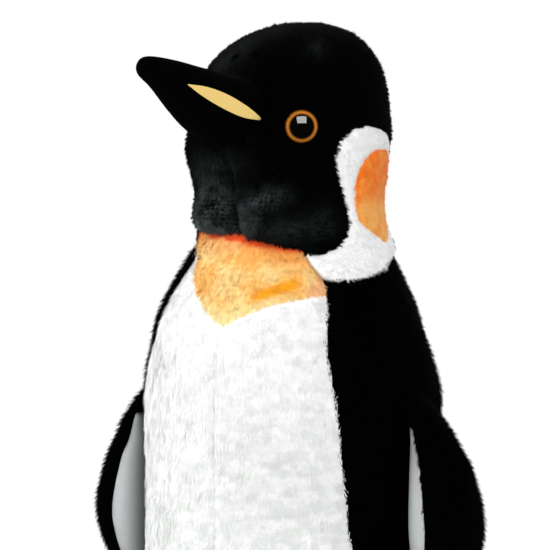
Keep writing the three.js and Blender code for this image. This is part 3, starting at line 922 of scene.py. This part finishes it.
def fade(tree, value, start, end):
    """0 where the value is at `start`, 1 where it is at `end`, easing between."""
    node = tree.nodes.new("ShaderNodeMapRange")
    node.interpolation_type = "SMOOTHSTEP"
    tree.links.new(value, node.inputs["Value"])
    set_inputs(node, {"From Min": start, "From Max": end})
    return node.outputs["Result"]


def band(tree, value, start, full, fading, end):
    """1 where the value is between `full` and `fading`, 0 below `start` and above `end`."""
    return times(tree, fade(tree, value, start, full), fade(tree, value, end, fading))


def wandering(tree, value, scale, reach):
    """A value shifted by soft noise, by up to about `reach` each way."""
    shift = times(tree, math_node(tree, "SUBTRACT", cloud(tree, scale), 0.5), 4 * reach)
    return math_node(tree, "ADD", value, shift)


def sloped(tree, slope, reach=0.003):
    """Height above a line that falls by `slope` to each metre across the toy, with a wandering edge."""
    across = times(tree, place(tree, 0), slope)
    return wandering(tree, math_node(tree, "ADD", place(tree, 2), across), 55, reach)


def bib_plush():
    """Dyed orange bib: pale and cloudy, with a deep orange streak low down; painted shade makes it
    red-orange under the throat, deepest at the hem.
    """
    material, tree, shader = new_material("bib_plush")
    clouds = fade(tree, cloud(tree, 42, 4), 0.38, 0.62)
    colour = over(tree, clouds, (0.97, 0.54, 0.14), (0.98, 0.71, 0.29))
    low = fade(tree, sloped(tree, 0), 0.418, 0.400)
    colour = over(tree, low, colour, (0.99, 0.83, 0.40))
    height = sloped(tree, -0.36, 0.0015)
    across = wandering(tree, place(tree, 0), 40, 0.004)
    streak = band(tree, height, 0.402, 0.407, 0.410, 0.416)
    streak = times(tree, streak, band(tree, across, 0.012, 0.026, 0.042, 0.052))
    colour = over(tree, streak, colour, (0.97, 0.42, 0.02))
    pink = times(tree, fade(tree, across, 0.050, 0.062), 0.7)
    colour = over(tree, pink, colour, (1.0, 0.56, 0.32))
    # painted shade: red-orange, deepest at the hem, where the head's cover overhangs the bib
    hem = sloped(tree, 0.12, 0.002)
    orange = times(tree, fade(tree, hem, 0.4375, 0.4515), 0.5)
    colour = over(tree, orange, colour, (0.93, 0.30, 0.05))
    colour = over(tree, fade(tree, hem, 0.4500, 0.4545), colour, (0.85, 0.10, 0.02))
    finish_plush(tree, shader, colour, 0.15, 0.1)
    return material


def ear_plush():
    """Dyed orange ear patch: deep orange on top, paler below, with cloudy blotches."""
    material, tree, shader = new_material("ear_plush")
    height = sloped(tree, 0, 0.010)
    colour = over(tree, fade(tree, height, 0.500, 0.466), (0.98, 0.23, 0.018), (1.0, 0.50, 0.12))
    blotch = times(tree, fade(tree, cloud(tree, 120), 0.5, 0.62), 0.75)
    colour = over(tree, blotch, colour, (1.0, 0.36, 0.05))
    finish_plush(tree, shader, colour, 0.1, 0.1)
    return material


def white_plush():
    """White pile with a faint line along the middle seam, and painted shade low on the belly: grey
    ripples and specks, darker towards the bottom.
    """
    material, tree, shader = new_material("white_plush")
    # painted shade: grey ripples and specks low on the belly, fading out higher up
    painted_ripple_shade = fade(tree, cloud(tree, 60, 4, 2.2), 0.40, 0.62)
    specks = times(tree, fade(tree, cloud(tree, 240), 0.35, 0.7), 0.5)
    lower = fade(tree, sloped(tree, 0, 0.02), 0.40, 0.26)
    amount = times(tree, math_node(tree, "ADD", painted_ripple_shade, specks), lower)
    colour = over(tree, amount, (0.97, 0.97, 0.965), (0.86, 0.88, 0.855))
    seam = fade(tree, math_node(tree, "ABSOLUTE", place(tree, 0)), 0.0012, 0.0)
    front = fade(tree, place(tree, 1), -0.06, -0.07)
    colour = mix(tree, "MULTIPLY", times(tree, seam, front), colour, (0.93, 0.93, 0.93))
    finish_plush(tree, shader, colour, 0.1, 0.1)
    return material


def velour(name, colour, sheen, gloss=0.1):
    """Very short pile of one colour."""
    return velour_material(name, colour, sheen, gloss)[0]


def velour_material(name, colour, sheen, gloss):
    """Very short pile: a fine grain instead of separate locks. With its node tree and shader."""
    material, tree, shader = new_material(name)
    dull = tuple(c * 0.8 for c in colour)
    colour = over(tree, cloud(tree, 900, 2), dull, colour)
    tree.links.new(colour, shader.inputs["Base Color"])
    set_inputs(shader, {"Roughness": 0.8, "Specular IOR Level": gloss, "Sheen Weight": sheen})
    grain = tree.nodes.new("ShaderNodeBump")
    set_inputs(grain, {"Strength": 0.35, "Distance": 0.0006})
    tree.links.new(cloud(tree, 1400, 2), grain.inputs["Height"])
    tree.links.new(grain.outputs["Normal"], shader.inputs["Normal"])
    return material, tree, shader


def lining_cloth():
    """Smooth grey lining, painted darker towards its middle as if it lay in shade."""
    material, tree, shader = velour_material("grey_lining", (0.45, 0.47, 0.47), 0.02, 0.1)
    middle = fade(tree, place(tree, 1), -0.036, -0.018)
    plain = shader.inputs["Base Color"].links[0].from_socket
    darker = mix(tree, "MULTIPLY", middle, plain, (0.45, 0.45, 0.45))
    tree.links.new(darker, shader.inputs["Base Color"])
    return material


def eye_glass():
    """Black pupil inside an amber ring, under a clear glossy face."""
    material, tree, shader = new_material("eye_glass")
    rings = [
        (0.67, (0.0012, 0.0008, 0.0010)), (0.75, (0.24, 0.075, 0.008)), (0.82, (0.52, 0.19, 0.022)),
        (0.90, (0.26, 0.075, 0.008)), (0.96, (0.008, 0.004, 0.002)),
    ]
    tree.links.new(ramp(tree, attribute(tree, "pile"), rings), shader.inputs["Base Color"])
    set_inputs(shader, {"Roughness": 0.06, "Specular IOR Level": 1.0})
    return material


def make_materials():
    """All the fabrics and plastics by name."""
    return {
        "black_plush": plain_plush("black_plush", (0.0006, 0.0007, 0.0007), 0.01, 0.01, 0.4),
        "white_plush": white_plush(),
        "bib": bib_plush(),
        "ear": ear_plush(),
        "beak_velour": velour("beak_velour", (0.0004, 0.0005, 0.0004), 0.006, 0.01),
        "stripe": velour("stripe_velour", (0.74, 0.53, 0.175), 0.03),
        "lining": lining_cloth(),
        "pellet_cloth": velour("pellet_cloth", (0.65, 0.62, 0.55), 0.05),
        "washer": velour("washer_plastic", (0.75, 0.75, 0.72), 0.0, 0.4),
        "eye": eye_glass(),
    }


def finish_hidden_nodes(materials):
    """Materials for the CAD nodes that stay: the pellet pouch and the washers inside the head."""
    finishes = {"pellet_pouch": "pellet_cloth", "left_eye_washer": "washer", "right_eye_washer": "washer"}
    for node, finish in finishes.items():
        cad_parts[node].data.materials.clear()
        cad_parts[node].data.materials.append(materials[finish])


# ---------------- studio

GLOW = (0.4, 0.4, 0.41)    # light from all round
FLOOR_HALF = 1.2           # half the floor's side, in metres

# the camera: degrees round from the front and up, metres away, and the point that it looks at
CAMERA = {"azimuth": 33, "elevation": 3, "distance": 3.29, "lens": 300, "shift": -0.012, "height": 0.428}


def direction(azimuth, elevation):
    """Away from the toy, at these degrees round from its front and up."""
    a, e = math.radians(azimuth), math.radians(elevation)
    return Vector((math.sin(a) * math.cos(e), -math.cos(a) * math.cos(e), math.sin(e)))


def aim(thing, target):
    """Turns a camera or lamp to look at a point."""
    thing.rotation_euler = (Vector(target) - thing.location).to_track_quat("-Z", "Y").to_euler()


def add_camera():
    """A long lens, a little to the penguin's left and slightly above the middle of the picture."""
    azimuth = math.radians(CAMERA["azimuth"])
    shift = CAMERA["shift"]
    target = Vector((shift * math.cos(azimuth), shift * math.sin(azimuth), CAMERA["height"]))
    camera = bpy.data.objects.new("camera", bpy.data.cameras.new("camera"))
    camera.data.lens = CAMERA["lens"]
    camera.data.sensor_width = 36
    camera.location = target + direction(CAMERA["azimuth"], CAMERA["elevation"]) * CAMERA["distance"]
    aim(camera, target)
    bpy.context.scene.collection.objects.link(camera)
    bpy.context.scene.camera = camera


def add_softbox(name, azimuth, elevation, distance, size, power):
    """A wide lamp round the toy; azimuth counts as the camera's does."""
    lamp = bpy.data.lights.new(name, "AREA")
    lamp.shape = "RECTANGLE"
    lamp.size = size * 1.2
    lamp.size_y = size * 0.9
    lamp.energy = power
    box = bpy.data.objects.new(name, lamp)
    box.location = direction(azimuth, elevation) * distance
    box.location.z += 0.4
    aim(box, (0, 0, 0.4))
    bpy.context.scene.collection.objects.link(box)
    return box


def add_studio():
    """White surroundings, a pale floor and soft lamps."""
    scene = bpy.context.scene
    scene.view_settings.view_transform = "Standard"
    world = bpy.data.worlds.new("surroundings")
    world.use_nodes = True
    scene.world = world
    tree = world.node_tree
    background = tree.nodes["Background"]
    path = tree.nodes.new("ShaderNodeLightPath")
    around = over(tree, path.outputs["Is Glossy Ray"], GLOW, (0.01, 0.01, 0.01))
    seen = over(tree, path.outputs["Is Camera Ray"], around, (1.0, 1.0, 1.0))
    tree.links.new(seen, background.inputs["Color"])
    floor_mesh = bpy.data.meshes.new("floor")
    corners = [(FLOOR_HALF * x, FLOOR_HALF * y, 0) for x, y in ((-1, -1), (1, -1), (1, 1), (-1, 1))]
    floor_mesh.from_pydata(corners, [], [(0, 1, 2, 3)])
    floor = bpy.data.objects.new("floor", floor_mesh)
    material, tree, shader = new_material("pale_floor")
    set_inputs(shader, {"Base Color": (0.9, 0.9, 0.9, 1), "Roughness": 0.9})
    floor_mesh.materials.append(material)
    floor.location.z = -0.0005
    scene.collection.objects.link(floor)
    floor.visible_glossy = False
    add_softbox("key", 43, 34, 1.8, 1.1, 21.5)
    add_softbox("left", -48, 22, 2.0, 1.4, 42).visible_glossy = False
    add_softbox("right", 110, 20, 2.0, 1.2, 8).visible_glossy = False
    add_softbox("back", 205, 35, 2.0, 1.4, 20).visible_glossy = False


# ---------------- the toy

materials = make_materials()
make_body(materials)
make_head(materials)
make_beak(materials)
make_eyes(materials)
make_flippers(materials)
make_feet(materials)
make_base(materials)
make_tail(materials)
finish_hidden_nodes(materials)
add_camera()
add_studio()
